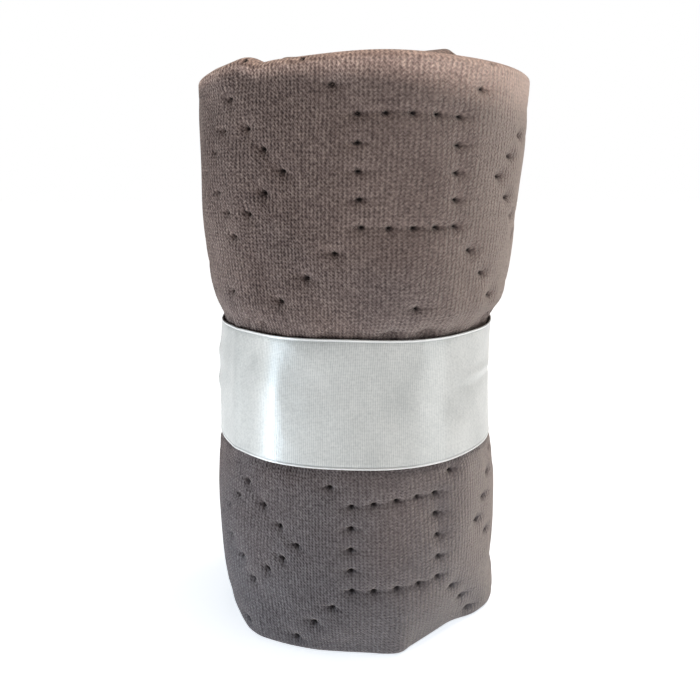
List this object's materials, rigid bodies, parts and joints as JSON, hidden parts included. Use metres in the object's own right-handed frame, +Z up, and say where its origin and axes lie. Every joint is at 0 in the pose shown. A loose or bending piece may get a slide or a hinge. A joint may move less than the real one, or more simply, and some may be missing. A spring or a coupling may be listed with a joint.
{
  "type": "rolled pet mat with ribbon",
  "caption": "Quilted velour pet mat, folded in thirds, rolled up and stood on its end, with a wide white satin ribbon round its waist.",
  "frame": {"origin": "centre of the roll's outline seen from above, on the surface that the roll stands on", "axes": "+Z up along the roll, -Y towards the front of the picture, +X to the viewer's right"},
  "size_m": [0.1358, 0.149, 0.2378],
  "materials": {
    "taupe_velour": "short taupe velour pile over fine knitted ribs, matt",
    "white_satin": "smooth white satin weave with bright selvedges, semi gloss"
  },
  "bodies": {
    "root": {"mat_roll": "taupe_velour", "ribbon_band": "white_satin"}
  },
  "joints": []
}
